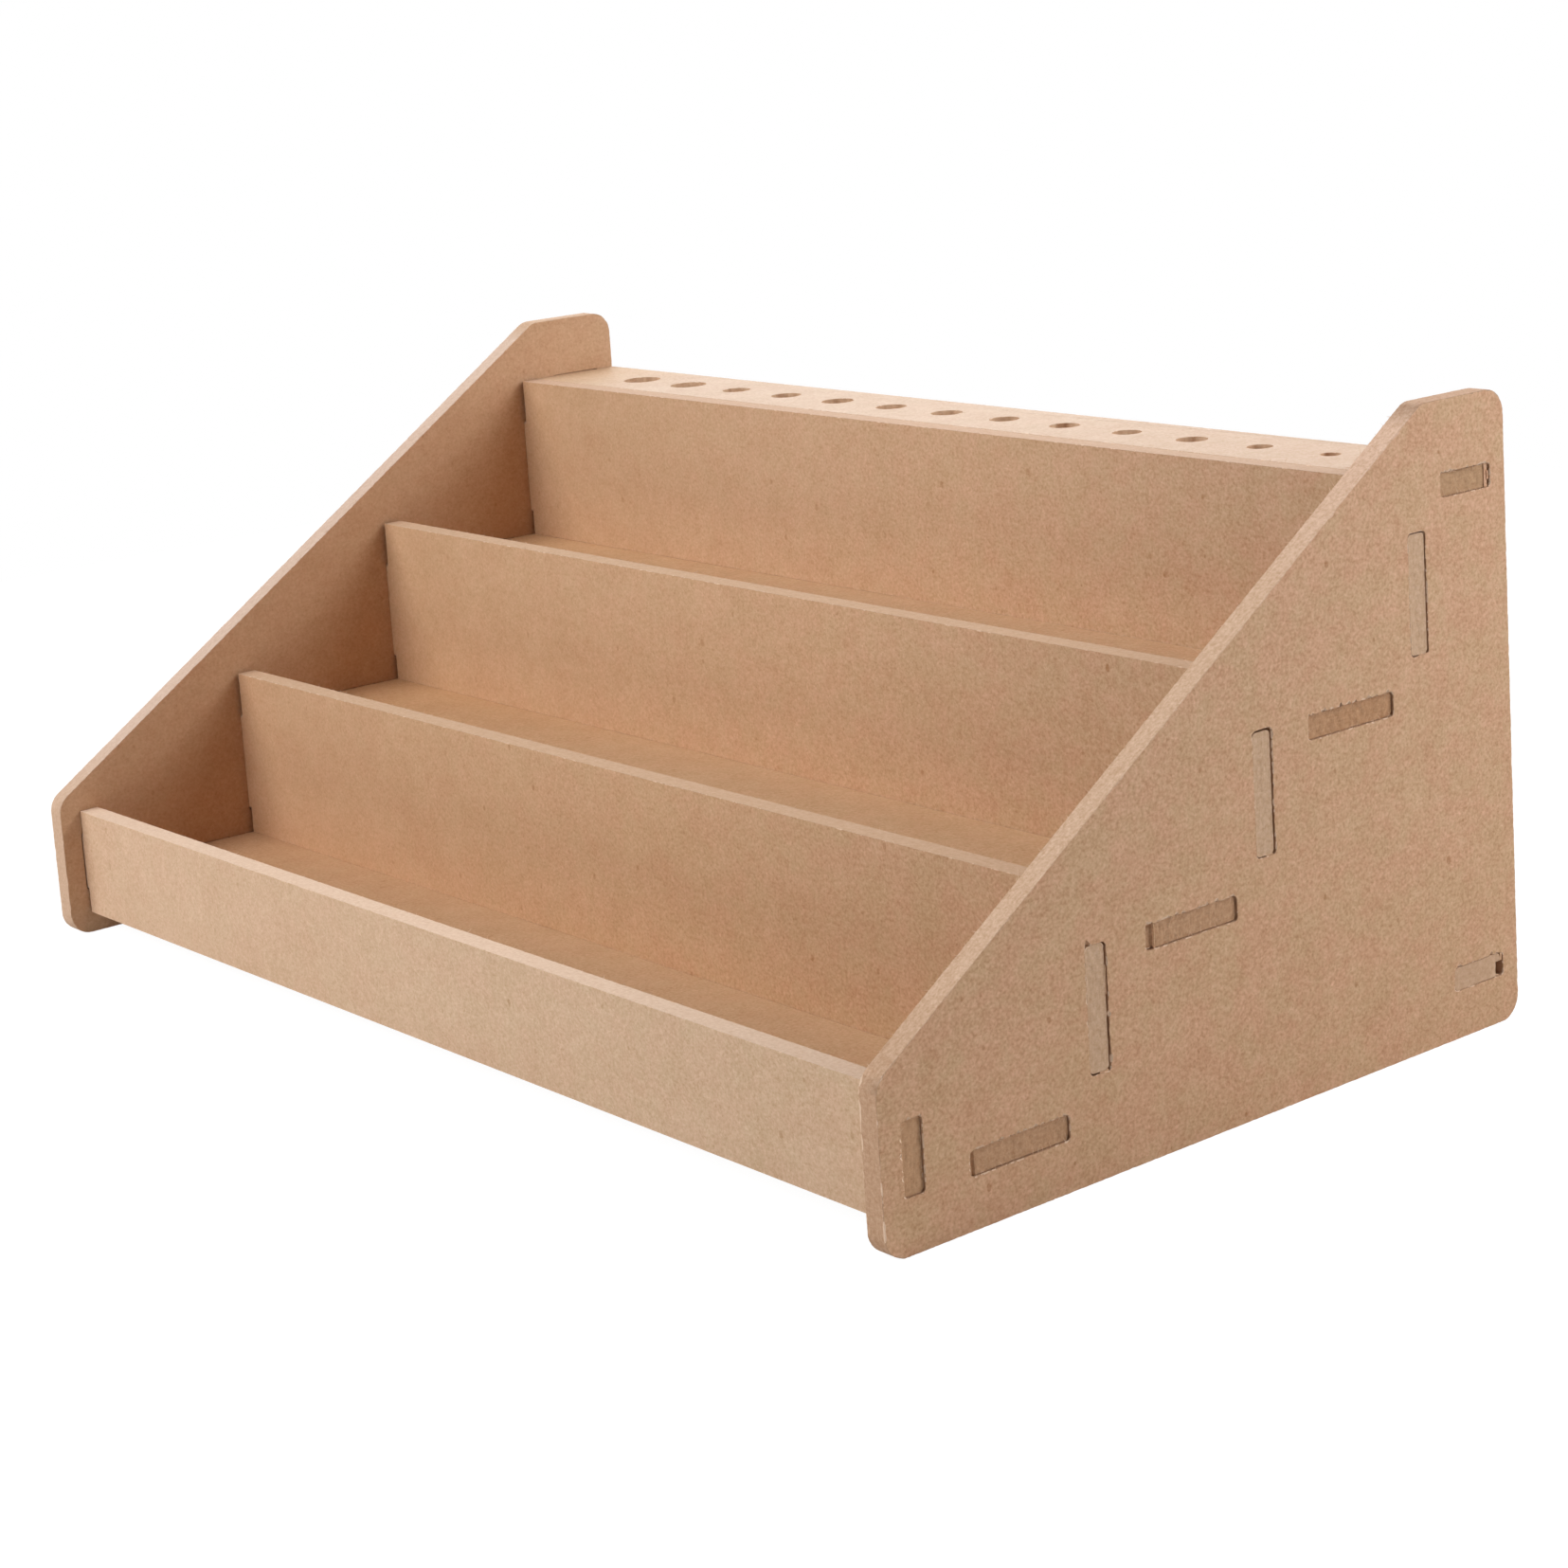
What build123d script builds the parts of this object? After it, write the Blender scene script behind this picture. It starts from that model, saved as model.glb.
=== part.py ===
from build123d import *
import os

os.makedirs("parts", exist_ok=True)

# Stepped paint stand, cut from one thickness of fibreboard and slotted together dry.
# X runs across the width, Y from the front (minus) to the back (plus), Z up.
# The origin is on the table, under the middle of the stand. Sizes are in millimetres.

# Board and side panels
board = 5.5  # thickness of every piece
overall_width = 355.0  # over the outer faces of the side panels
front_height = 38.4  # front edge of a side panel
brow_depth = 28.5  # level top of a side panel, behind its slope
corner_radius = 6.0  # corners of a side panel

# Trays, named from the front one up
tiers = ["lower", "middle", "upper"]
tray_depth = 47.7  # clear from one upright board to the next
tier_rise = 35.2  # from one tray floor to the next
floor_height = 17.2  # floor of the front tray above the table
riser_upstand = 12.0  # top of a riser above the floor behind it
lip_upstand = 18.0  # top of the front lip above the floor behind it
lip_setback = 6.0  # front lip behind the front edges of the side panels
lip_lift = 6.0  # lower edge of the front lip above the table

# Brush rail, with its holes from left to right
rail_depth = 28.9
rail_margin = 34.9  # from a side panel to the centre of the nearest hole
hole_sizes = [11.0, 10.5, 8.0, 8.5, 9.0, 8.5, 8.5, 8.0, 8.0, 7.5, 8.0, 6.5, 5.0]

# Tenons, and the play that lets the stand go together by hand
wide_tenon = 28.1  # on shelves and risers
narrow_tenon = 16.3  # on the front lip, the brush rail and the brush rest
cutter_radius = 1.0  # inside corners of a mortise, and the eased corners of a tenon
tenon_play = 0.1  # all round a tenon in its mortise
shoulder_play = 0.25  # between a board and each side panel
lap_play = 0.15  # between boards that meet
sunk_tip = 0.5  # tenon tip of a level board or the lip, inside the outer face of its panel
near_flush_tip = 0.1  # the same for a riser and the brush rest

# Places that follow from the sizes above
tier_pitch = tray_depth + board
panel_depth = lip_setback + board + len(tiers) * tier_pitch + rail_depth
front = -panel_depth / 2
rear = panel_depth / 2
panel_height = front_height + (panel_depth - brow_depth) * tier_rise / tier_pitch
board_span = overall_width - 2 * board - 2 * shoulder_play
sunk_reach = overall_width / 2 - sunk_tip
flush_reach = overall_width / 2 - near_flush_tip

# Each tier starts at the back face of the upright board in front of it
lip_face = front + lip_setback
tier_fronts = [lip_face + board + tier * tier_pitch for tier in range(len(tiers))]
floors = [floor_height + tier * tier_rise for tier in range(len(tiers))]
riser_height = board + tier_rise + riser_upstand
rail_front = rear - rail_depth
rail_top = floors[-1] + tier_rise + riser_upstand
lip_top = floor_height + lip_upstand

# Centres of the tenons, as (y, z). A shelf and its riser both reach round their shared corner.
shelf_tenons = [
    (tier_front + tier_pitch / 2, floor - board / 2)
    for tier_front, floor in zip(tier_fronts, floors)
]
riser_tenons = [
    (tier_front + tray_depth + board / 2, floor - board + riser_height / 2)
    for tier_front, floor in zip(tier_fronts, floors)
]
lip_tenon = (lip_face + board / 2, (lip_lift + lip_top) / 2)
rail_tenon = (rail_front + rail_depth / 2, rail_top - board / 2)
rest_tenon = (rail_front + rail_depth / 2, floor_height - board / 2)

# Side panels: a slope parallel to the tiers, rounded corners and one mortise for each tenon
for side, inner_x in (("left", -overall_width / 2), ("right", overall_width / 2 - board)):
    with BuildPart() as side_panel:
        with BuildSketch(Plane.YZ.offset(inner_x)):
            with BuildLine():
                Polyline(
                    (front, 0),
                    (rear, 0),
                    (rear, panel_height),
                    (rear - brow_depth, panel_height),
                    (front, front_height),
                    close=True,
                )
            make_face()
            fillet(vertices(), corner_radius)
            with Locations(*shelf_tenons):
                RectangleRounded(
                    wide_tenon + 2 * tenon_play,
                    board + 2 * tenon_play,
                    cutter_radius,
                    mode=Mode.SUBTRACT,
                )
            with Locations(*riser_tenons):
                RectangleRounded(
                    board + 2 * tenon_play,
                    wide_tenon + 2 * tenon_play,
                    cutter_radius,
                    mode=Mode.SUBTRACT,
                )
            with Locations(lip_tenon):
                RectangleRounded(
                    board + 2 * tenon_play,
                    narrow_tenon + 2 * tenon_play,
                    cutter_radius,
                    mode=Mode.SUBTRACT,
                )
            with Locations(rail_tenon, rest_tenon):
                RectangleRounded(
                    narrow_tenon + 2 * tenon_play,
                    board + 2 * tenon_play,
                    cutter_radius,
                    mode=Mode.SUBTRACT,
                )
        extrude(amount=board)
    side_panel.part.label = f"side_panel_{side}"
    export_step(side_panel.part, f"parts/side_panel_{side}.step")

# Front lip: the low board that keeps the front row of pots in
with BuildPart() as front_lip:
    with BuildSketch(Plane.XZ.offset(-lip_face)):
        with Locations((0, lip_lift)):
            Rectangle(board_span, lip_top - lip_lift, align=(Align.CENTER, Align.MIN))
    extrude(amount=-board)
    with BuildSketch(Plane.YZ):
        with Locations(lip_tenon):
            RectangleRounded(board, narrow_tenon, cutter_radius)
    extrude(amount=sunk_reach, both=True)
front_lip.part.label = "front_lip"
export_step(front_lip.part, "parts/front_lip.step")

# Shelves and risers. Each pair shares its corner by a lap that changes over at mid width:
# on the left the shelf runs on under the riser, on the right the riser drops behind the shelf.
half_lap = (board_span - lap_play) / 2
for name, tier_front, floor, shelf_tenon, riser_tenon in zip(
    tiers, tier_fronts, floors, shelf_tenons, riser_tenons
):
    riser_face = tier_front + tray_depth
    with BuildPart() as shelf:
        with BuildSketch(Plane.XY.offset(floor - board)):
            with Locations((0, tier_front + lap_play)):
                Rectangle(board_span, tray_depth - 2 * lap_play, align=(Align.CENTER, Align.MIN))
            with Locations((-board_span / 2, riser_face - lap_play)):
                Rectangle(half_lap, board + lap_play, align=(Align.MIN, Align.MIN))
        extrude(amount=board)
        with BuildSketch(Plane.YZ):
            with Locations(shelf_tenon):
                RectangleRounded(wide_tenon, board, cutter_radius)
        extrude(amount=sunk_reach, both=True)
    shelf.part.label = f"shelf_{name}"
    export_step(shelf.part, f"parts/shelf_{name}.step")

    with BuildPart() as riser:
        with BuildSketch(Plane.XZ.offset(-riser_face)):
            with Locations((0, floor + lap_play)):
                Rectangle(
                    board_span,
                    riser_height - board - lap_play,
                    align=(Align.CENTER, Align.MIN),
                )
            with Locations((board_span / 2, floor - board)):
                Rectangle(half_lap, board + lap_play, align=(Align.MAX, Align.MIN))
        extrude(amount=-board)
        with BuildSketch(Plane.YZ):
            with Locations(riser_tenon):
                RectangleRounded(board, wide_tenon, cutter_radius)
        extrude(amount=flush_reach, both=True)
    riser.part.label = f"riser_{name}"
    export_step(riser.part, f"parts/riser_{name}.step")

# Brush rail: level with the top of the last riser, drilled for handles of many thicknesses
hole_pitch = (overall_width - 2 * board - 2 * rail_margin) / (len(hole_sizes) - 1)
first_hole = -hole_pitch * (len(hole_sizes) - 1) / 2
with BuildPart() as brush_rail:
    with BuildSketch(Plane.XY.offset(rail_top - board)):
        with Locations((0, rail_front + lap_play)):
            Rectangle(board_span, rail_depth - lap_play, align=(Align.CENTER, Align.MIN))
    extrude(amount=board)
    with BuildSketch(Plane.YZ):
        with Locations(rail_tenon):
            RectangleRounded(narrow_tenon, board, cutter_radius)
    extrude(amount=sunk_reach, both=True)
    for place, size in enumerate(hole_sizes):
        with Locations((first_hole + place * hole_pitch, rail_tenon[0], rail_top)):
            Hole(size / 2, depth=board)
brush_rail.part.label = "brush_rail"
export_step(brush_rail.part, "parts/brush_rail.step")

# Brush rest: the low board under the rail, which the ends of the handles stand on
with BuildPart() as brush_rest:
    with BuildSketch(Plane.XY.offset(floor_height - board)):
        with Locations((0, rail_front + lap_play)):
            Rectangle(board_span, rail_depth - lap_play, align=(Align.CENTER, Align.MIN))
    extrude(amount=board)
    with BuildSketch(Plane.YZ):
        with Locations(rest_tenon):
            RectangleRounded(narrow_tenon, board, cutter_radius)
    extrude(amount=flush_reach, both=True)
brush_rest.part.label = "brush_rest"
export_step(brush_rest.part, "parts/brush_rest.step")
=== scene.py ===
import math
import random

import bmesh
import bpy
from mathutils import Matrix, Vector, noise


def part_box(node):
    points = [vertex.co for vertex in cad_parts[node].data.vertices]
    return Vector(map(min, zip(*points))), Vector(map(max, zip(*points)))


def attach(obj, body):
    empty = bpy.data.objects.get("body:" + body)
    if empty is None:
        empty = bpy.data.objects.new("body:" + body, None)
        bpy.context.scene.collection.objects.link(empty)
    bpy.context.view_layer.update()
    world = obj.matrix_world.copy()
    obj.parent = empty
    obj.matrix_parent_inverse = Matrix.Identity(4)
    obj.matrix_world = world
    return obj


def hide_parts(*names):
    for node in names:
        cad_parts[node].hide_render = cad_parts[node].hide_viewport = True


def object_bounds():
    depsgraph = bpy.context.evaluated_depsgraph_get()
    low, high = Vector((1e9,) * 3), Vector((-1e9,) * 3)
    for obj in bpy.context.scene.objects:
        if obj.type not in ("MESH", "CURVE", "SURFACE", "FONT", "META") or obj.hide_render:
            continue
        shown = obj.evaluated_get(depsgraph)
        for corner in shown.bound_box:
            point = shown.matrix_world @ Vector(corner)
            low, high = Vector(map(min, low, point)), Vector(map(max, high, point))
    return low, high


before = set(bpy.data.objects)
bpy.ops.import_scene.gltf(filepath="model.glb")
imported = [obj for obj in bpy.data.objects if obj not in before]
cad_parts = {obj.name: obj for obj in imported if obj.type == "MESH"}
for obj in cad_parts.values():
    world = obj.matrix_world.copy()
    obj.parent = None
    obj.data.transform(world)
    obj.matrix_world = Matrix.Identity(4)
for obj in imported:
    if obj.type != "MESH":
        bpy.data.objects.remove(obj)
cad_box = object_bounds()
millimetre = 0.001

# Camera: a little to the right of the stand, raised, turned to the left and slightly rolled.
# Its place, angles, focal length and shift are the photograph's own.
camera_place = Vector((0.67211, -0.50608, 0.26851))
camera_yaw = math.radians(-50.4944)
camera_pitch = math.radians(-10.6711)
camera_roll = math.radians(-3.6306)
ahead = Vector((
    math.sin(camera_yaw) * math.cos(camera_pitch),
    math.cos(camera_yaw) * math.cos(camera_pitch),
    math.sin(camera_pitch),
))
level_right = Vector((math.cos(camera_yaw), -math.sin(camera_yaw), 0))
level_up = level_right.cross(ahead)
camera_right = level_right * math.cos(camera_roll) + level_up * math.sin(camera_roll)
camera_up = level_up * math.cos(camera_roll) - level_right * math.sin(camera_roll)

camera_data = bpy.data.cameras.new("camera")
camera_data.sensor_width = 36
camera_data.lens = 77.21
camera_data.shift_x = -0.0405
camera_data.shift_y = -0.1512
camera = bpy.data.objects.new("camera", camera_data)
camera.matrix_world = Matrix.LocRotScale(
    camera_place,
    Matrix((camera_right, camera_up, -ahead)).transposed(),
    None,
)
bpy.context.scene.collection.objects.link(camera)
bpy.context.scene.camera = camera


# Side panels: two boards of raw brown fibreboard, routed to one shape with a sloping front,
# rounded corners and nine mortises each, and slipped over the tenons of all the other boards.
# The router leaves arrises and mortise mouths that are torn and fibrous. The cut edges are paler
# than the faces, partly in their own colour and partly as painted light that grows paler up the slope.
# Torn fibre is paler in its own colour, and paler still as a painted highlight on the burrs along the
# rims.
torn_fibre_and_highlight_tone = (0.78, 0.57, 0.41)
# The mortise walls are the same cut board as the edges, darkened here as painted shade in the deep
# gaps.
wall_painted_shade_tone = (0.45, 0.26, 0.155)
face_place, edge_place, shaded_wall_place, torn_place, tip_place = range(5)  # in each list of finishes
sharp_angle = math.radians(40)
touching = 0.01 * millimetre
noise.seed_set(11)  # so that every run tears the arrises alike


class Pattern:
    """A node tree that is being wired, with the few nodes that the board's patterns need."""

    def __init__(self, tree):
        self.tree = tree

    def node(self, kind, **settings):
        made = self.tree.nodes.new(kind)
        for name, value in settings.items():
            setattr(made, name, value)
        return made

    def feed(self, socket, value):
        if isinstance(value, bpy.types.NodeSocket):
            self.tree.links.new(value, socket)
        elif isinstance(value, tuple) and socket.type == "RGBA":
            socket.default_value = (*value, 1)
        else:
            socket.default_value = value

    def clouds(self, vector, scale, detail=2.0, roughness=0.5):
        made = self.node("ShaderNodeTexNoise")
        self.feed(made.inputs["Vector"], vector)
        self.feed(made.inputs["Scale"], scale)
        self.feed(made.inputs["Detail"], detail)
        self.feed(made.inputs["Roughness"], roughness)
        return made.outputs["Fac"]

    def turned(self, vector, rotation=(0, 0, 0), scale=(1, 1, 1)):
        made = self.node("ShaderNodeMapping")
        self.feed(made.inputs["Vector"], vector)
        self.feed(made.inputs["Rotation"], rotation)
        self.feed(made.inputs["Scale"], scale)
        return made.outputs["Vector"]

    def spread(self, value, low, high, new_low, new_high):
        made = self.node("ShaderNodeMapRange")
        for socket, number in zip(made.inputs, (value, low, high, new_low, new_high)):
            self.feed(socket, number)
        return made.outputs["Result"]

    def combine(self, operation, first, second=0.0):
        made = self.node("ShaderNodeMath", operation=operation)
        self.feed(made.inputs[0], first)
        self.feed(made.inputs[1], second)
        return made.outputs["Value"]

    def tint(self, blend, share, first, second):
        made = self.node("ShaderNodeMix", data_type="RGBA", blend_type=blend)
        self.feed(made.inputs["Factor"], share)
        self.feed(made.inputs[6], first)
        self.feed(made.inputs[7], second)
        return made.outputs[2]

    def shaded(self, colour, relief):
        """Lightens and darkens a colour by the same step in each of its parts, as short fibres do."""
        share = self.combine("ADD", relief, 0.5)
        steps = self.tint("MIX", share, (0.66, 0.5, 0.33), (1.34, 1.5, 1.67))
        return self.tint("MULTIPLY", 1.0, colour, steps)


def new_group(name):
    """An empty group with the inputs and outputs that every board pattern has."""
    group = bpy.data.node_groups.new(name, "ShaderNodeTree")
    for label, kind in (("Vector", "Vector"), ("Tone", "Color"), ("Contrast", "Float")):
        group.interface.new_socket(label, in_out="INPUT", socket_type="NodeSocket" + kind)
    for label, kind in (("Color", "Color"), ("Roughness", "Float"), ("Height", "Float")):
        group.interface.new_socket(label, in_out="OUTPUT", socket_type="NodeSocket" + kind)
    pattern = Pattern(group)
    return pattern, pattern.node("NodeGroupInput"), pattern.node("NodeGroupOutput")


def pressed_face_group():
    """The pressed face: fine matted fibres with pale and dark grains, single hairs and flecks of bark,
    under soft clouds and pink and straw patches. The third part of Vector goes through the board."""
    pattern, given, result = new_group("pressed face")
    place = given.outputs["Vector"]
    matting = pattern.clouds(place, 1100, 3, 0.65)
    relief = pattern.combine("SUBTRACT", matting, 0.5)

    grains = pattern.clouds(place, 1700, 0)
    for low, high, share in ((0.58, 0.7, 0.08), (0.4, 0.3, -0.12)):
        relief = pattern.combine("ADD", relief, pattern.spread(grains, low, high, 0, share))

    bends = pattern.clouds(pattern.turned(place, (0, 0, 0.4), (260, 420, 260)), 1.0, 1)
    zones = pattern.clouds(place, 240, 0)
    for level, low, high, share in ((0.53, 0.52, 0.6, 0.22), (0.46, 0.46, 0.38, -0.16)):
        offset = pattern.combine("ABSOLUTE", pattern.combine("SUBTRACT", bends, level))
        line = pattern.spread(offset, 0.0, 0.012, share, 0)
        hair = pattern.combine("MULTIPLY", line, pattern.spread(zones, low, high, 0, 1))
        relief = pattern.combine("ADD", relief, hair)

    bark = pattern.node("ShaderNodeTexVoronoi")
    pattern.feed(bark.inputs["Vector"], pattern.turned(place, scale=(0.7, 0.5, 1)))
    pattern.feed(bark.inputs["Scale"], 300.0)
    shade = pattern.node("ShaderNodeSeparateColor")
    pattern.feed(shade.inputs["Color"], bark.outputs["Color"])
    reach = pattern.combine("MULTIPLY", pattern.combine("POWER", shade.outputs["Red"], 5.0), 0.13)
    beyond = pattern.combine("SUBTRACT", bark.outputs["Distance"], reach)
    fleck = pattern.spread(beyond, 0.0, 0.05, -0.35, 0)
    relief = pattern.combine("ADD", relief, fleck)
    relief = pattern.combine("MULTIPLY", relief, given.outputs["Contrast"])

    for scale, detail, share in ((330, 2, 0.2), (90, 1, 0.16)):
        cloud = pattern.combine("SUBTRACT", pattern.clouds(place, scale, detail), 0.5)
        relief = pattern.combine("ADD", relief, pattern.combine("MULTIPLY", cloud, share))

    patches = pattern.spread(pattern.clouds(place, 110, 3, 0.6), 0.38, 0.62, 0, 1)
    tints = pattern.tint("MIX", patches, (1.025, 0.978, 0.993), (0.976, 1.018, 0.987))
    strength = pattern.combine("POWER", given.outputs["Contrast"], 2.0)
    tinted = pattern.tint("MULTIPLY", strength, given.outputs["Tone"], tints)
    pattern.feed(result.inputs["Color"], pattern.shaded(tinted, relief))
    pattern.feed(result.inputs["Roughness"], pattern.spread(matting, 0.35, 0.65, 0.72, 0.6))
    pattern.feed(result.inputs["Height"], matting)
    return pattern.tree


def cut_core_group():
    """The routed edge: short cut fibres with fine pores, in faint layers that run along the board.
    The third part of Vector goes through the board."""
    pattern, given, result = new_group("cut core")
    place = given.outputs["Vector"]
    layers = pattern.clouds(pattern.turned(place, scale=(260, 260, 2000)), 1.0, 2)
    pores = pattern.clouds(place, 1000, 4, 0.8)
    grain = pattern.combine(
        "ADD",
        pattern.combine("MULTIPLY", layers, 0.2),
        pattern.combine("MULTIPLY", pores, 0.8),
    )
    relief = pattern.combine("SUBTRACT", grain, 0.5)
    relief = pattern.combine("MULTIPLY", relief, given.outputs["Contrast"])
    pattern.feed(result.inputs["Color"], pattern.shaded(given.outputs["Tone"], relief))
    pattern.feed(result.inputs["Roughness"], pattern.spread(grain, 0.35, 0.65, 0.9, 0.78))
    pattern.feed(result.inputs["Height"], grain)
    return pattern.tree


def board_finish(name, group, turn, tone, contrast, relief, *shifts):
    """A raw board: one of the groups, turned into the plane of the board, on a matt surface.
    Contrast is one number, or one at the left end and one at the right. Each shift is
    (axis, from, to, tone that takes over along it)."""
    # The shifts paint light and shade: tones that grow lighter or darker along the board where the
    # light on it does.
    finish = bpy.data.materials.new(name)
    finish.use_nodes = True
    surface = finish.node_tree.nodes["Principled BSDF"]
    surface.inputs["Specular IOR Level"].default_value = 0.3
    pattern = Pattern(finish.node_tree)
    place = pattern.node("ShaderNodeTexCoord").outputs["Object"]
    look = pattern.node("ShaderNodeGroup", node_tree=group)
    pattern.feed(look.inputs["Vector"], pattern.turned(place, turn))
    parts = pattern.node("ShaderNodeSeparateXYZ")
    pattern.feed(parts.inputs["Vector"], place)
    for axis, start, end, other in shifts:
        share = pattern.spread(parts.outputs[axis], start, end, 0, 1)
        tone = pattern.tint("MIX", share, tone, other)
    if isinstance(contrast, tuple):
        contrast = pattern.spread(parts.outputs["X"], -0.17, 0.17, *contrast)
    pattern.feed(look.inputs["Tone"], tone)
    pattern.feed(look.inputs["Contrast"], contrast)
    bump = pattern.node("ShaderNodeBump")
    pattern.feed(bump.inputs["Strength"], relief)
    pattern.feed(bump.inputs["Distance"], 0.1 * millimetre)
    pattern.feed(bump.inputs["Height"], look.outputs["Height"])
    pattern.feed(surface.inputs["Base Color"], look.outputs["Color"])
    pattern.feed(surface.inputs["Roughness"], look.outputs["Roughness"])
    pattern.feed(surface.inputs["Normal"], bump.outputs["Normal"])
    return finish


pressed_face = pressed_face_group()
cut_core = cut_core_group()
sideways = (0, math.radians(90), math.radians(90))
upright = (math.radians(90), 0, 0)
level = (0, 0, 0)
# Mortise walls: the cut core darkened as painted shade.
shaded_cut_wall = board_finish("cut wall painted shade", cut_core, sideways, wall_painted_shade_tone, 0.9, 1.0)
# Torn fibre: its own pale colour, with a painted highlight of the burrs.
torn_fibre_with_highlight = board_finish("torn fibre with painted highlight", cut_core, sideways, torn_fibre_and_highlight_tone, 0.6, 0.5)


def take_board(node):
    """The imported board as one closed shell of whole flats."""
    board = bmesh.new()
    board.from_mesh(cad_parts[node].data)
    bmesh.ops.remove_doubles(board, verts=board.verts, dist=0.000001)
    bmesh.ops.dissolve_limit(
        board, angle_limit=math.radians(0.5), verts=board.verts, edges=board.edges
    )
    return board


def outside_arrises(board, wanted):
    """The outside arrises whose two ends pass the test."""
    return [
        edge for edge in board.edges
        if edge.is_convex and edge.calc_face_angle() > sharp_angle
        and wanted(edge.verts[0].co, edge.verts[1].co)
    ]


def arris_runs(board, wanted):
    """The same arrises, as (start, end, face normal, face normal)."""
    return [
        (
            *(corner.co.copy() for corner in edge.verts),
            *(face.normal.copy() for face in edge.link_faces),
        )
        for edge in outside_arrises(board, wanted)
    ]


def ease_arrises(board, wanted, spacing, ease, torn):
    """Rounds the wanted arrises over a little, lets their two borders wander, and tears fibres out
    of the flats beside them: torn gives the depth at a point. Returns the narrow faces it makes."""
    arrises = outside_arrises(board, wanted)
    for edge in list(arrises):
        cuts = int(edge.calc_length() / spacing)
        if cuts:
            split = bmesh.ops.bisect_edges(board, edges=[edge], cuts=cuts)["geom_split"]
            arrises += [part for part in split if isinstance(part, bmesh.types.BMEdge)]
    arrises = [edge for edge in dict.fromkeys(arrises) if edge.calc_face_angle() > sharp_angle]
    eased = bmesh.ops.bevel(
        board, geom=arrises, offset=ease, offset_type="OFFSET",
        segments=2, profile=0.5, affect="EDGES", material=-1,
    )
    narrow = set(eased["faces"])
    moves = []
    for corner in dict.fromkeys(corner for face in eased["faces"] for corner in face.verts):
        flats = [face.normal for face in corner.link_faces if face not in narrow]
        back = -sum((face.normal for face in corner.link_faces if face in narrow), Vector())
        pull = noise.noise_vector(corner.co / (1.7 * millimetre)) * 0.08 * millimetre
        pull += noise.noise_vector(corner.co / (0.7 * millimetre)) * 0.08 * millimetre
        for normal in flats:
            pull -= normal * pull.dot(normal)
            back -= normal * back.dot(normal)
        if flats and back.length > 0.1:
            pull += back.normalized() * torn(corner.co)
        moves.append((corner, pull))
    for corner, pull in moves:
        corner.co += pull
    return narrow


def ragged(point):
    """How far fibres are torn out at a point: nothing over half of the length, then jagged."""
    jag = noise.noise(point / (1.6 * millimetre)) + 0.7 * noise.noise(point / (0.7 * millimetre))
    return max(0.0, jag + 0.1)


def keep_inside(board, node):
    """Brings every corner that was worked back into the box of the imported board."""
    lowest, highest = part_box(node)
    for corner in board.verts:
        corner.co = [min(max(part, low), high) for part, low, high in zip(corner.co, lowest, highest)]


def tenon_span(node, side):
    """The lowest and the highest corner of a board's tenon tip, with side 1 for the right."""
    points = [vertex.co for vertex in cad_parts[node].data.vertices]
    reach = max(side * point.x for point in points)
    tip = [point for point in points if side * point.x > reach - touching]
    low = Vector([min(point[axis] for point in tip) for axis in range(3)])
    high = Vector([max(point[axis] for point in tip) for axis in range(3)])
    return low, high


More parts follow.
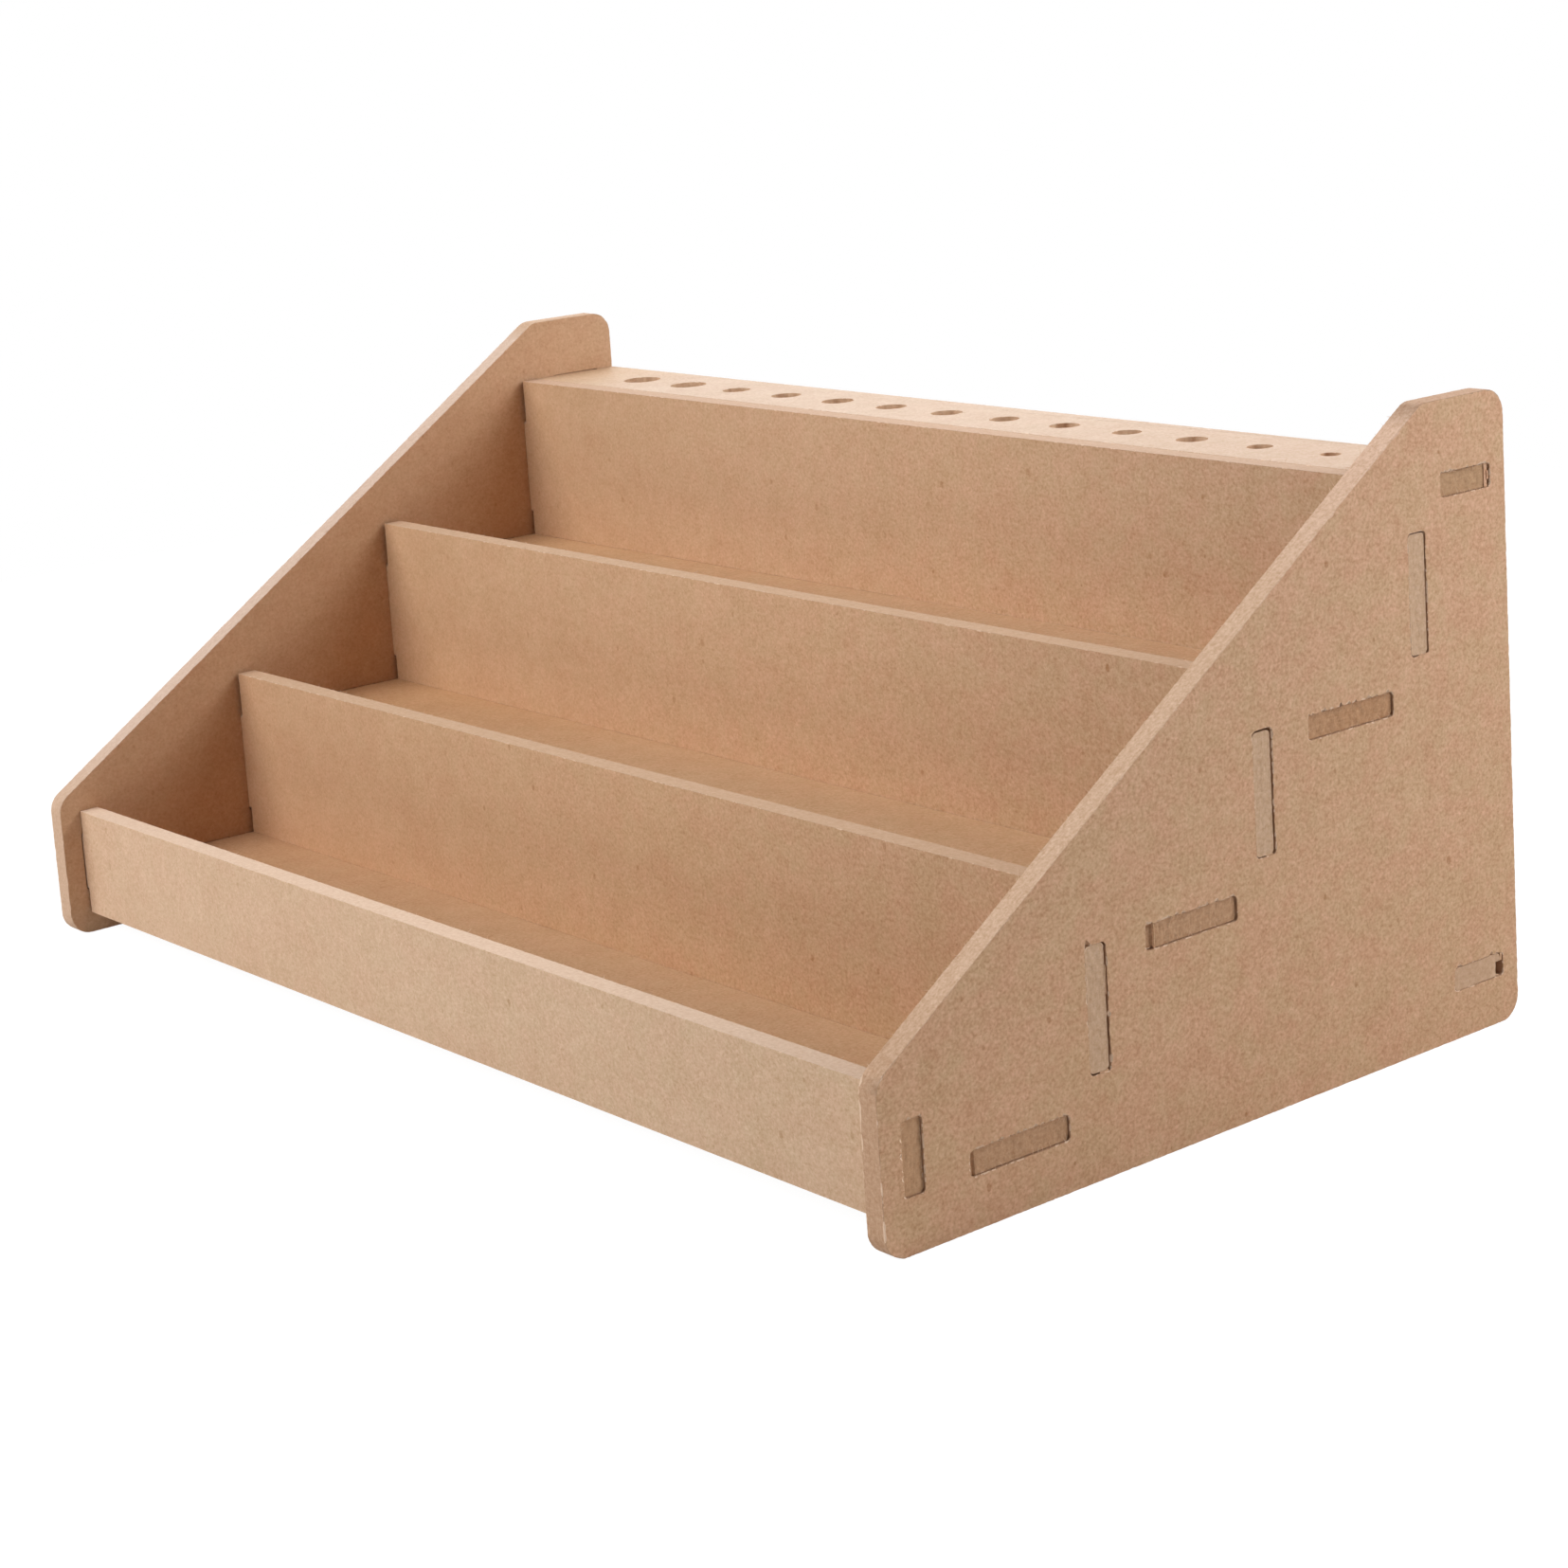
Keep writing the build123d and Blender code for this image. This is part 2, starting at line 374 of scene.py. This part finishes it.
class Mortise:
    """The mouth of one mortise: where its tenon is, how far its walls stand off and how torn it is.
    Sides are given in the order front, rear, below, above, in millimetres. Where torn is negative,
    fibres lean out over the tip instead."""

    def __init__(self, node, side, play, torn):
        self.side = side
        self.low, self.high = tenon_span(node, side)
        self.middle = (self.low + self.high) / 2
        self.half = (self.high - self.low) / 2
        self.play = [amount * millimetre for amount in play]
        self.torn = [amount * millimetre for amount in torn]

    def holds(self, point, margin):
        return (
            abs(point.y - self.middle.y) < self.half.y + margin
            and abs(point.z - self.middle.z) < self.half.z + margin
        )

    def widen(self, board):
        """Moves the walls outwards from the tenon by the play on each side, and a wall's share of
        the rounded corners goes with it."""
        front, rear, below, above = self.play
        bend = 0.95 * millimetre
        for corner in board.verts:
            if self.holds(corner.co, 0.3 * millimetre):
                y, z = corner.co.y, corner.co.z
                corner.co.y += rear * (y > self.high.y - bend) - front * (y < self.low.y + bend)
                corner.co.z += above * (z > self.high.z - bend) - below * (z < self.low.z + bend)

    def place_of(self, point):
        """Which side of the mouth a point is nearest to, and the way out from there."""
        across = point.y - self.middle.y
        up = point.z - self.middle.z
        if abs(across) - self.half.y > abs(up) - self.half.z:
            return int(across > 0), Vector((0, math.copysign(1, across), 0))
        return 2 + int(up > 0), Vector((0, 0, math.copysign(1, up)))

    def tear_depth(self, point):
        return ragged(point) * self.torn[self.place_of(point)[0]]

    def tear(self, board, narrow):
        """Chips the rim back over the face and down the wall, and closes the gap here and there."""
        face_x = cad_box[1].x
        packed_play = 0.1 * millimetre
        longest_lean = 0.35 * millimetre
        rim = [
            face for face in narrow
            if self.holds(face.calc_center_median(), 1.6 * millimetre)
            and self.side * face.calc_center_median().x > face_x - 0.5 * millimetre
        ]
        for corner in {corner for face in rim for corner in face.verts}:
            which, outward = self.place_of(corner.co)
            depth = self.tear_depth(corner.co)
            lean = noise.noise(corner.co / (4 * millimetre))
            lean += 0.5 * noise.noise(corner.co / (0.8 * millimetre))
            room = min(max(0.0, self.play[which] + packed_play), longest_lean)
            shift = -max(0.0, lean) * room
            if self.side * corner.co.x > face_x - touching:
                shift += depth
            else:
                corner.co.x -= self.side * max(0.0, depth) * 0.6
            corner.co += outward * shift
        return rim

    def rim_runs(self):
        """Lines just inside the mouth, from which loose fibres reach across the tenon's tip."""
        x = self.side * (cad_box[1].x - 0.2 * millimetre)
        low, high = self.low, self.high
        down = Vector((-0.3 * self.side, 0, 0))
        up, back = Vector((0, 0, 1)), Vector((0, 1, 0))
        return [
            (Vector((x, low.y, low.z)), Vector((x, high.y, low.z)), up, up + down),
            (Vector((x, low.y, high.z)), Vector((x, high.y, high.z)), -up, down - up),
            (Vector((x, low.y, low.z)), Vector((x, low.y, high.z)), back, back + down),
        ]


def build_fibre():
    """One loose fibre, a metre long and thick at its root, that others are scaled from."""
    strand = bmesh.new()
    bmesh.ops.create_cone(
        strand, cap_ends=True, segments=4, radius1=0.5, radius2=0.15, depth=1.0,
        matrix=Matrix.Translation((0, 0, 0.5)),
    )
    lengthways = [
        edge for edge in strand.edges if abs(edge.verts[0].co.z - edge.verts[1].co.z) > 0.5
    ]
    bmesh.ops.subdivide_edges(strand, edges=lengthways, cuts=2)
    mesh = bpy.data.meshes.new("fibre")
    strand.to_mesh(mesh)
    strand.free()
    return mesh


fibre_mesh = build_fibre()


def lay_fibre(tufts, root, heading, length, thickness, curl):
    """Adds one fibre to the tufts, bent over to one side."""
    before = len(tufts.verts)
    tufts.from_mesh(fibre_mesh)
    tufts.verts.ensure_lookup_table()
    fresh = tufts.verts[before:]
    for corner in fresh:
        along = corner.co.z
        corner.co = Vector((
            corner.co.x * thickness + curl * along * along * length,
            corner.co.y * thickness,
            along * length,
        ))
    turn = heading.to_track_quat("Z", "Y").to_matrix().to_4x4()
    bmesh.ops.transform(tufts, matrix=Matrix.Translation(root) @ turn, verts=fresh)


def lay_flake(loose, middle, size):
    """Adds a thin flake of board, a little ragged, that stands in a gap just under the outer face."""
    thickness = 0.2 * millimetre
    before = len(loose.verts)
    edges_before = len(loose.edges)
    bmesh.ops.create_cube(loose, size=1.0)
    loose.edges.ensure_lookup_table()
    axis = 1 if size[0] > size[1] else 2
    lengthways = [
        edge for edge in loose.edges[edges_before:]
        if abs(edge.verts[0].co[axis] - edge.verts[1].co[axis]) > 0.5
    ]
    bmesh.ops.subdivide_edges(loose, edges=lengthways, cuts=11)
    loose.verts.ensure_lookup_table()
    for corner in loose.verts[before:]:
        corner.co = middle + Vector((
            corner.co.x * thickness, corner.co.y * size[0], corner.co.z * size[1]
        ))
        jag = noise.noise_vector(corner.co / (0.9 * millimetre)) * 0.12 * millimetre
        corner.co += Vector((0, jag.y, jag.z))


def merge_tufts(board, tufts, place=torn_place):
    for face in tufts.faces:
        face.material_index = place
    fuzz = bpy.data.meshes.new("fuzz")
    tufts.to_mesh(fuzz)
    tufts.free()
    board.from_mesh(fuzz)
    bpy.data.meshes.remove(fuzz)


def stand_fuzz(board, runs, spacing, chance, longest):
    """Roots loose fibres along the given runs, leaning between the two headings of each."""
    room_low, room_high = cad_box
    tufts = bmesh.new()
    for start, end, first, second in runs:
        count = max(1, round((end - start).length / spacing))
        for step in range(count):
            root = start.lerp(end, (step + chance.random()) / count)
            lean = chance.random()
            along = (end - start).normalized() * chance.uniform(-0.9, 0.9)
            heading = (first * lean + second * (1 - lean) + along).normalized()
            length = longest * chance.random() ** 2.5 + 0.15 * millimetre
            thickness = chance.uniform(0.06, 0.16) * millimetre
            curl = chance.uniform(-0.5, 0.5)
            tip = root + heading * length
            clear = abs(curl) * length + thickness
            if all(room_low[axis] + clear < tip[axis] < room_high[axis] - clear for axis in range(3)):
                lay_fibre(tufts, root - heading * thickness, heading, length, thickness, curl)
    merge_tufts(board, tufts)


def finish_piece(board, name, node, finishes):
    """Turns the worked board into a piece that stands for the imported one."""
    mesh = bpy.data.meshes.new(name)
    board.to_mesh(mesh)
    board.free()
    for finish in finishes:
        mesh.materials.append(finish)
    piece = bpy.data.objects.new(name, mesh)
    bpy.context.scene.collection.objects.link(piece)
    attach(piece, "root")
    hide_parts(node)
    return piece


# The boards sit forward in their mortises, so a dark line shows along the rear side of each.
# (board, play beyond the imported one, how far the rim is torn), each as front, rear, below, above.
mouths = (
    ("front_lip", (-0.09, 0.0, 0.0, 0.1), (0.9, 0.4, 0.7, 0.9)),
    ("shelf_lower", (-0.09, 0.05, 0.04, 0.0), (0.8, 0.3, 0.3, 1.3)),
    ("riser_lower", (-0.09, 0.55, 0.35, -0.05), (0.5, 0.8, 0.3, 1.3)),
    ("shelf_middle", (0.0, 0.05, 0.04, 0.0), (0.8, 0.3, 0.3, 1.1)),
    ("riser_middle", (-0.09, 0.5, 0.15, 0.4), (0.2, 0.5, 0.3, 0.3)),
    ("shelf_upper", (-0.09, 0.15, 0.0, 0.0), (0.4, 0.3, 0.3, 1.4)),
    ("riser_upper", (-0.07, 0.35, 0.15, 0.15), (0.4, 0.4, 0.2, 0.3)),
    ("brush_rail", (-0.09, 0.9, 0.0, 0.04), (0.8, 0.4, 0.3, 0.9)),
    ("brush_rest", (-0.07, 0.9, 0.0, 0.0), (0.5, 0.5, 0.2, 1.3)),
)
# Flakes of board that still hang in the gaps. (board, y from, y to, z from, z to, depth under the
# panel's face), in millimetres from the lower front corner of its tenon's tip.
flakes = (
    ("brush_rail", 15.6, 16.65, 0.0, 5.5, 0.42),
    ("brush_rail", 16.4, 16.95, 1.8, 3.8, 0.25),
    ("brush_rest", 16.4, 17.1, 3.6, 5.5, 0.25),
    ("riser_lower", 5.55, 5.75, 16.5, 23.0, 0.2),
    ("riser_lower", 2.8, 5.3, -0.42, -0.02, 0.2),
    ("riser_middle", 3.0, 5.4, -0.22, -0.02, 0.2),
    ("riser_upper", 2.6, 5.4, -0.22, -0.02, 0.2),
    ("shelf_middle", 2.45, 2.7, 0.1, 5.3, 0.2),
)
# (side, node, piece, grain of its face and edges, tones low down and high up on its face, tones of its
# front, the foot and head of its slope, and its top, how far it is torn). The face tones paint shade
# low down; the edge tones paint light and shade, paler up the slope and darker at the front and the
# top.
sides = (
    (
        -1, "side_panel_left", "panel_left", 0.5, 0.9, (0.592, 0.353, 0.207), (0.617, 0.37, 0.218),
        (0.64, 0.427, 0.292), (0.70, 0.51, 0.40), (0.74, 0.545, 0.425), (0.64, 0.425, 0.285),
        0.3 * millimetre,
    ),
    (
        1, "side_panel_right", "panel_right", 0.95, 1.6, (0.612, 0.367, 0.216), (0.622, 0.376, 0.226),
        (0.545, 0.337, 0.211), (0.68, 0.455, 0.307), (0.74, 0.50, 0.36), (0.47, 0.295, 0.195),
        0.6 * millimetre,
    ),
)
for (
    side, node, name, face_grain, edge_grain,
    low_face_painted_shade, high_tone, front_edge_painted_light, slope_foot_painted_light, slope_head_painted_light, top_edge_painted_light, outline_torn,
) in sides:
    chance = random.Random(11 + side)
    panel = take_board(node)
    mortises = [Mortise(board, side, play, torn) for board, play, torn in mouths]
    if side < 0:  # the left mortise of the lip is loose in front
        mortises[0].play[0] = 0.2 * millimetre
    for mortise in mortises:
        mortise.widen(panel)

    def on_front(point):
        return point.y < cad_box[0].y + 2 * millimetre

    def outline_depth(point):
        if any(mortise.holds(point, 1.6 * millimetre) for mortise in mortises):
            return 0.0
        drawn_out = Vector((point.x, point.y, 0.4 * point.z))
        return ragged(drawn_out) * outline_torn * (1.0 if on_front(point) else 0.6)

    outline_runs = arris_runs(panel, lambda start, end: (end - start).length > 30 * millimetre)
    narrow = ease_arrises(
        panel, lambda start, end: True, 0.35 * millimetre, 0.08 * millimetre, outline_depth
    )
    for face in panel.faces:
        centre = face.calc_center_median()
        if abs(face.normal.x) > 0.97:
            face.material_index = face_place
        elif any(mortise.holds(centre, 1.2 * millimetre) for mortise in mortises):
            # painted shade on the mortise walls
            face.material_index = shaded_wall_place
        else:
            face.material_index = edge_place
        if face in narrow and on_front(centre) and outline_depth(centre) > 0.1 * millimetre:
            face.material_index = torn_place
    for mortise in mortises:
        for face in mortise.tear(panel, narrow):
            if mortise.tear_depth(face.calc_center_median()) > 0.08 * millimetre:
                face.material_index = torn_place
    keep_inside(panel, node)
    stand_fuzz(panel, outline_runs, 2 * millimetre, chance, 2.2 * millimetre)
    for mortise in mortises:
        stand_fuzz(panel, mortise.rim_runs(), 0.9 * millimetre, chance, 2 * millimetre)
    loose = bmesh.new()
    for board, *sizes in flakes:
        place = tenon_span(board, side)[0]
        y_from, y_to, z_from, z_to, depth = (size * millimetre for size in sizes)
        middle = Vector((
            side * (cad_box[1].x - depth),
            place.y + (y_from + y_to) / 2,
            place.z + (z_from + z_to) / 2,
        ))
        lay_flake(loose, middle, (y_to - y_from, z_to - z_from))
    merge_tufts(panel, loose, face_place)
    # The face is darker low down: painted shade in the trays.
    panel_face_shaded_low = board_finish(
        name + " face", pressed_face, sideways, low_face_painted_shade, face_grain, 0.3,
        ("Z", 0.04, 0.13, high_tone),
    )
    # The edge tones paint light and shade along the height: paler up the slope, darker at the front
    # and top.
    panel_edge_painted_light = board_finish(
        name + " edge", cut_core, sideways, front_edge_painted_light, edge_grain, 0.7,
        ("Z", 0.035, 0.0535, slope_foot_painted_light), ("Z", 0.115, 0.142, slope_head_painted_light),
        ("Z", 0.147, 0.151, top_edge_painted_light),
    )
    finish_piece(panel, name, node, [panel_face_shaded_low, panel_edge_painted_light, shaded_cut_wall, torn_fibre_with_highlight])


# Front lip: a low board on edge that keeps the front row of pots in, cut from the same sheet.
# Its tenons stop half a millimetre inside the outer faces of the panels, rough, their tips darkened as
# painted shade in the recess.
lip_finishes = [
    # Painted light on the lip: its face and top edge grow darker towards the right, as the light falls
    # from the left.
    board_finish(
        "lip face", pressed_face, upright, (0.69, 0.463, 0.305), (0.5, 0.7), 0.25,
        ("X", -0.15, 0.06, (0.656, 0.447, 0.293)), ("X", 0.06, 0.17, (0.63, 0.43, 0.281)),
    ),
    board_finish(
        "lip edge", cut_core, upright, (0.78, 0.575, 0.43), 0.8, 0.5,
        ("X", 0.03, 0.17, (0.65, 0.472, 0.347)),
    ),
    shaded_cut_wall,
    torn_fibre_with_highlight,
    board_finish("lip tip painted shade", cut_core, upright, (0.53, 0.31, 0.172), 0.9, 1.0),
]


def roughen_tip(board, low, high, side, depth, breaks):
    """Breaks up the tip of one tenon into small hollows, and sinks it where a bit has broken off.
    Each break is (y from, y to, z from, z to, depth), in millimetres from the tip's lower front
    corner."""
    def tip_faces():
        return [
            face for face in board.faces
            if side * face.normal.x > 0.99
            and side * face.calc_center_median().x > side * high.x - touching
        ]

    for axis in (1, 2):
        count = int((high[axis] - low[axis]) / (0.5 * millimetre))
        for step in range(1, count):
            faces = tip_faces()
            edges = dict.fromkeys(edge for face in faces for edge in face.edges)
            corners = dict.fromkeys(corner for face in faces for corner in face.verts)
            point = low.copy()
            point[axis] += (high[axis] - low[axis]) * step / count
            normal = Vector((0, 0, 0))
            normal[axis] = 1
            bmesh.ops.bisect_plane(
                board, geom=[*faces, *edges, *corners],
                plane_co=point, plane_no=normal, dist=touching,
            )
    faces = set(tip_faces())
    for face in faces:
        face.material_index = tip_place
    for corner in {corner for face in faces for corner in face.verts}:
        if all(face in faces for face in corner.link_faces):
            hollow = noise.noise(corner.co / (1.6 * millimetre))
            hollow += 0.6 * noise.noise(corner.co / (0.5 * millimetre))
            corner.co.x -= side * depth * max(0.0, 0.4 + hollow)
    for y_from, y_to, z_from, z_to, sunk in breaks:
        for corner in board.verts:
            across, up = (corner.co - low).yz / millimetre
            at_tip = side * (high.x - corner.co.x) < 0.5 * millimetre
            if at_tip and y_from < across < y_to and z_from < up < z_to:
                corner.co.x -= side * sunk * millimetre


def arris_depth(point):
    return ragged(point) * 0.15 * millimetre


def dress_board(node, across, finishes, hollows, breaks=()):
    """Works one board between the panels: eased arrises, rough tenon tips, and fuzz along its top.
    On the left a riser stops short of its panel above and below its tenon, and the lip does towards
    its foot. A riser's foot sits down on its shelf."""
    board = take_board(node)
    chance = random.Random(node)
    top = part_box(node)[1].z
    if across == 1:
        thickness = 5.5 * millimetre
        lap_play = 0.15 * millimetre
        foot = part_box(node)[0].z + thickness + lap_play
        foot_drop = 0.08 * millimetre
        riser_gap = 0.8 * millimetre
        eased_corner = 1.1 * millimetre
        lip_lean = 0.02
        shoulder = min(corner.co.x for corner in board.verts if corner.co.z > top - touching)
        below, above = (corner.z for corner in tenon_span(node, -1))
        for corner in board.verts:
            if abs(corner.co.x - shoulder) < 0.05 * millimetre:
                if node == "front_lip":
                    corner.co.x += lip_lean * (top - corner.co.z)
                elif not below + eased_corner < corner.co.z < above - eased_corner:
                    corner.co.x += riser_gap
            if abs(corner.co.z - foot) < 0.02 * millimetre:
                corner.co.z -= foot_drop

    def open_top(start, end):
        """The long arrises along the top, but not those of a shelf, which its risers cover."""
        return (
            (end - start).length > 30 * millimetre
            and min(start.z, end.z) > top - touching
            and not node.startswith("shelf")
        )

    runs = arris_runs(board, open_top)
    narrow = ease_arrises(
        board,
        lambda start, end: open_top(start, end) or (end - start).length < 30 * millimetre,
        0.5 * millimetre, 0.07 * millimetre, arris_depth,
    )
    keep_inside(board, node)
    for face in board.faces:
        face.material_index = face_place if abs(face.normal[across]) > 0.97 else edge_place
        if face in narrow and arris_depth(face.calc_center_median()) > 0.08 * millimetre:
            face.material_index = torn_place
    for side in (-1, 1):
        roughen_tip(board, *tenon_span(node, side), side, hollows, breaks)
    stand_fuzz(board, runs, 4 * millimetre, chance, 1.2 * millimetre)
    finish_piece(board, node + "_board", node, finishes)


dress_board("front_lip", 1, lip_finishes, 0.2 * millimetre)

# Shelves and risers: three level boards that carry the pots and three upright ones behind them,
# each pair sharing its corner. The risers' tenons end almost flush, the shelves' are sunk, with
# painted shade on their tips that grows darker towards the back.
# Board edges grow darker towards the right: painted shade.
board_edge = board_finish(
    "board edge", cut_core, upright, (0.60, 0.40, 0.262), 0.8, 0.5,
    ("X", -0.1, 0.12, (0.57, 0.375, 0.245)),
)
# The upper riser's edges: a little paler for the light on its top edge and darker towards the right,
# both painted light and shade.
upper_edge_painted_light = board_finish(
    "upper board edge painted light", cut_core, upright, (0.615, 0.41, 0.285), 0.8, 0.5,
    ("X", 0.02, 0.16, (0.53, 0.36, 0.255)),
)
riser_tip = board_finish("riser tip", cut_core, upright, (0.61, 0.405, 0.262), 1.2, 0.8)
# Painted shade on the sunk shelf tips, darker towards the back.
shelf_tip_painted_shade = board_finish(
    "shelf tip", cut_core, level, (0.525, 0.307, 0.175), 1.4, 1.0,
    ("Y", 0.0, 0.045, (0.50, 0.275, 0.145)),
)
# Each tier: (tier, breaks, shelf tone at its left end and further right, riser tone at its left end,
# in the middle and at its right end, riser edges). These tones paint light and shade: the shelves
# darker at their left ends, the risers a little darker at their left ends and much darker at their
# right ends beside the right panel, and the higher shelves lighter.
for tier, breaks, shelf_left_painted_shade, shelf_tone, riser_left_painted_shade, riser_tone, riser_right_painted_shade, riser_edge in (
    (
        "lower", [(-1, 1.3, -1, 6, 0.4)], (0.54, 0.321, 0.18), (0.576, 0.363, 0.213),
        (0.62, 0.38, 0.223), (0.62, 0.386, 0.227), (0.552, 0.342, 0.205), board_edge,
    ),
    (
        "middle", [(-1, 2.5, -1, 6, 0.4)], (0.576, 0.339, 0.18), (0.622, 0.395, 0.232),
        (0.619, 0.386, 0.225), (0.632, 0.394, 0.236), (0.545, 0.343, 0.211), board_edge,
    ),
    (
        "upper", [], (0.63, 0.39, 0.216), (0.652, 0.417, 0.251),
        (0.602, 0.376, 0.222), (0.632, 0.404, 0.25), (0.556, 0.358, 0.227), upper_edge_painted_light,
    ),
):
    shelf_face = board_finish(
        tier + " shelf face", pressed_face, level, shelf_left_painted_shade, (0.5, 0.6), 0.2,
        ("X", -0.15, 0.0, shelf_tone),
    )
    shelf_finishes = [shelf_face, board_edge, shaded_cut_wall, torn_fibre_with_highlight, shelf_tip_painted_shade]
    dress_board("shelf_" + tier, 2, shelf_finishes, 0.2 * millimetre, breaks)
    riser_face = board_finish(
        tier + " riser face", pressed_face, upright, riser_left_painted_shade, (0.45, 0.95), 0.2,
        ("X", -0.15, -0.05, riser_tone), ("X", 0.03, 0.17, riser_right_painted_shade),
    )
    riser_finishes = [riser_face, riser_edge, shaded_cut_wall, torn_fibre_with_highlight, riser_tip]
    dress_board("riser_" + tier, 1, riser_finishes, 0.12 * millimetre)

# Brush rail: a level board behind the top of the last riser, bored with thirteen graded holes.
rail_finishes = [
    # Painted light and shade on the rail's top: darker beside the left panel, paler just beyond it,
    # and darker again towards the right.
    board_finish(
        "rail face", pressed_face, level, (0.61, 0.413, 0.26), 0.45, 0.25,
        ("X", -0.169, -0.12, (0.638, 0.459, 0.333)), ("X", 0.0, 0.16, (0.548, 0.384, 0.275)),
    ),
    board_edge,
    shaded_cut_wall,
    torn_fibre_with_highlight,
    # The rail's sunk tenon tips are darkened as painted shade.
    board_finish("rail tip painted shade", cut_core, level, (0.50, 0.30, 0.167), 1.2, 1.0),
]
dress_board("brush_rail", 2, rail_finishes, 0.15 * millimetre)

# Brush rest: the board low down under the rail that the ends of the brush handles stand on.
# Its tenons end almost flush and are paler than those of the shelves, whose sunk tips carry painted
# shade.
rest_tip = board_finish("rest tip", cut_core, level, (0.60, 0.39, 0.25), 0.9, 0.8)
rest_finishes = [*shelf_finishes[:tip_place], rest_tip]
dress_board("brush_rest", 2, rest_finishes, 0.12 * millimetre, [(15.0, 17, 0.2, 3.5, 2.0)])


# Table: a plain sheet of white paper that the stand is set down on. It keeps the stand's faint
# shadow, and looks white itself, while it sends only a plain amount of light up on to the boards.
def looked_at(pattern):
    """One where a surface is seen directly, in a gloss or through glass, and zero for its light."""
    ray = pattern.node("ShaderNodeLightPath")
    return pattern.combine(
        "MAXIMUM",
        pattern.combine("MAXIMUM", ray.outputs["Is Camera Ray"], ray.outputs["Is Glossy Ray"]),
        ray.outputs["Is Transmission Ray"],
    )


bpy.ops.mesh.primitive_plane_add(size=1.4)
table = bpy.context.object
table.name = "table"
paper = bpy.data.materials.new("white table")
paper.use_nodes = True
paper.node_tree.nodes.clear()
pattern = Pattern(paper.node_tree)
matt = pattern.node("ShaderNodeBsdfDiffuse")
pattern.feed(matt.inputs["Color"], (0.8, 0.8, 0.8))
seen_matt = pattern.node("ShaderNodeBsdfDiffuse")
pattern.feed(seen_matt.inputs["Color"], (0.13, 0.13, 0.13))
glow = pattern.node("ShaderNodeEmission")
pattern.feed(glow.inputs["Strength"], 0.965)
seen = pattern.node("ShaderNodeAddShader")
pattern.feed(seen.inputs[0], seen_matt.outputs["BSDF"])
pattern.feed(seen.inputs[1], glow.outputs["Emission"])
either = pattern.node("ShaderNodeMixShader")
pattern.feed(either.inputs["Fac"], looked_at(pattern))
pattern.feed(either.inputs[1], matt.outputs["BSDF"])
pattern.feed(either.inputs[2], seen.outputs["Shader"])
pattern.feed(pattern.node("ShaderNodeOutputMaterial").inputs["Surface"], either.outputs["Shader"])
table.data.materials.append(paper)

# Surroundings: a white backdrop all round, which is seen but lights nothing. All of the light on
# the boards comes from the lamps.
surroundings = bpy.data.worlds.new("white surroundings")
surroundings.use_nodes = True
surroundings.node_tree.nodes.clear()
pattern = Pattern(surroundings.node_tree)
white = pattern.node("ShaderNodeBackground")
pattern.feed(white.inputs["Color"], (1, 1, 1))
pattern.feed(white.inputs["Strength"], looked_at(pattern))
pattern.feed(pattern.node("ShaderNodeOutputWorld").inputs["Surface"], white.outputs["Background"])
bpy.context.scene.world = surroundings

# Lamps: six soft round studio lamps that all point at the middle of the stand. The main one hangs
# above the front left, two low ones stand behind, and two near ones brighten the panels and rail.
aim = Vector((0, 0, 0.07))
for name, place, width, power in (
    ("front left lamp", (-0.35, -0.768, 0.918), 0.9, 11.55),
    ("front lamp", (0.0, -1.128, 0.480), 0.9, 1.7),
    ("rear right lamp", (0.820, 0.820, 0.381), 0.9, 5.4),
    ("rear left lamp", (-0.820, 0.820, 0.381), 0.9, 4.1),
    ("near right lamp", (0.35, 0.35, 0.5), 0.4, 1.9),
    ("near left lamp", (-0.35, 0.3, 0.5), 0.4, 0.6),
):
    glass = bpy.data.lights.new(name, "AREA")
    glass.shape = "DISK"
    glass.size = width
    glass.energy = power
    lamp = bpy.data.objects.new(name, glass)
    lamp.location = place
    lamp.rotation_euler = (Vector(place) - aim).to_track_quat("Z", "Y").to_euler()
    bpy.context.scene.collection.objects.link(lamp)

bpy.context.scene.view_settings.view_transform = "Standard"
